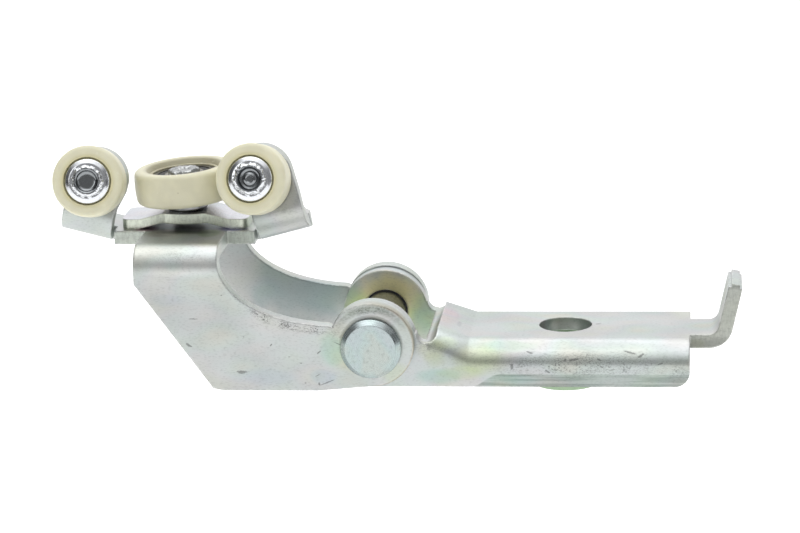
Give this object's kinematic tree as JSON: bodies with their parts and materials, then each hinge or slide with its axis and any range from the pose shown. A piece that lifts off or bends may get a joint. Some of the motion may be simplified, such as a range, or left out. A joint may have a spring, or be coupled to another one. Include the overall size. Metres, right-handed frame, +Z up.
{
  "type": "sliding door roller guide",
  "caption": "Hinged sliding door roller guide: pressed arm with a bolt hole and stop tab, pinned to a bracket that carries two side rollers and a larger carrier roller.",
  "frame": {"origin": "centre of the bolt hole in the arm's top face", "axes": "+Z up out of the bolt hole, +X along the arm towards the stop tab, +Y across the part, away from the hinge pin's round head"},
  "size_m": [0.201, 0.0534, 0.074],
  "materials": {
    "zinc_sheet": "bright zinc plated pressed sheet with a faint coloured sheen",
    "zinc_plate": "bright zinc plated sheet with a lilac sheen and greenish cut edges",
    "zinc_turned": "zinc plated turned steel",
    "bright_rivet": "shiny formed rivet steel with a rough peened centre",
    "dark_steel": "dark oiled steel",
    "bearing_steel": "ground bearing steel",
    "black_bush": "black liner",
    "ivory_nylon": "moulded ivory nylon"
  },
  "bodies": {
    "arm": {"hinge_arm": "zinc_sheet", "spacer_tube": "zinc_turned", "front_bush": "black_bush", "back_bush": "black_bush"},
    "bracket": {"roller_bracket": "zinc_sheet", "stud_plate": "zinc_plate", "hinge_pin": "zinc_turned", "pin_sleeve": "dark_steel", "pin_washer": "zinc_turned", "roller_stud": "dark_steel", "stud_washer": "zinc_turned", "stud_spacer": "dark_steel", "bearing_inner": "bearing_steel", "rear_axle": "bright_rivet", "rear_axle_washer": "zinc_turned", "front_axle": "bright_rivet", "front_axle_washer": "zinc_turned"},
    "carrier_wheel": {"bearing_balls": "bearing_steel", "bearing_outer": "bearing_steel", "carrier_tyre": "ivory_nylon"},
    "rear_wheel": {"rear_roller_sleeve": "dark_steel", "rear_roller": "ivory_nylon"},
    "front_wheel": {"front_roller_sleeve": "dark_steel", "front_roller": "ivory_nylon"}
  },
  "joints": [
    {"name": "hinge", "type": "hinge", "parent": "arm", "child": "bracket", "pos_m": [-0.055, 0, -0.0003], "axis": [0, 1, 0], "range_deg": [-60, 60]},
    {"name": "carrier_spin", "type": "hinge", "parent": "bracket", "child": "carrier_wheel", "pos_m": [-0.1123, 0.007, 0.0342], "axis": [-0.0698, 0, 0.9976], "continuous": true},
    {"name": "rear_spin", "type": "hinge", "parent": "bracket", "child": "rear_wheel", "pos_m": [-0.13909, -0.00202, 0.0442], "axis": [0.0648, -0.9659, 0.2506], "continuous": true},
    {"name": "front_spin", "type": "hinge", "parent": "bracket", "child": "front_wheel", "pos_m": [-0.08986, -0.00159, 0.04457], "axis": [-0.0648, -0.9659, 0.2506], "continuous": true}
  ]
}
